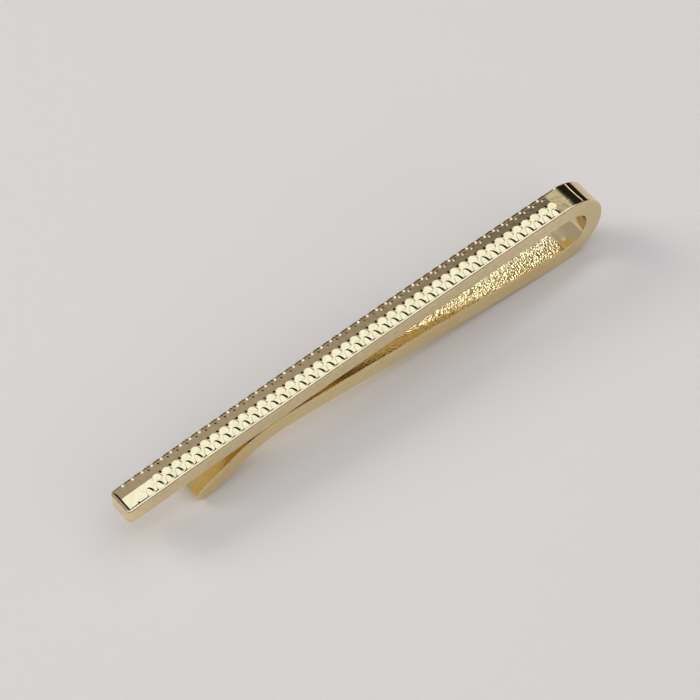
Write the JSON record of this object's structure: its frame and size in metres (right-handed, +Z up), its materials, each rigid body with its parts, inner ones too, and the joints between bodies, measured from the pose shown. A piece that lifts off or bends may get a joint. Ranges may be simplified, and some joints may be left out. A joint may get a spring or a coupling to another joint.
{
  "type": "tie clip",
  "caption": "Hairpin tie clip: a slim bar struck with a scale pattern turns through a round bow into a spring leg whose knee presses back against it and whose tip flares open.",
  "frame": {"origin": "centre of the bounding box in X and Y, on the surface that the clip lies on: the bow's underside and the tip's heel touch Z = 0", "axes": "+X along the bar towards the bow, +Y across the strip towards its far edge, +Z up out of the patterned face"},
  "size_m": [0.0582, 0.003, 0.0088],
  "materials": {
    "struck_bar": "pale champagne gold plate, bright, over a struck scale pattern with darkened valleys",
    "polished_bow": "polished champagne gold plate, smooth and plain",
    "plated_leg": "polished yellow gold plate, slightly granular on the inner faces"
  },
  "bodies": {
    "leg": {"spring_leg": "plated_leg", "grip_knee": "plated_leg", "lead_in_tip": "plated_leg"},
    "bar": {"bow": "polished_bow", "front_bar": "struck_bar"}
  },
  "joints": [
    {"name": "clip_opening", "type": "hinge", "parent": "leg", "child": "bar", "pos_m": [0.0243, 0, 0.00002], "axis": [0, 1, 0], "range_deg": [0, 4], "stiffness_Nm_per_rad": 6.4, "springref_deg": -0.52}
  ]
}
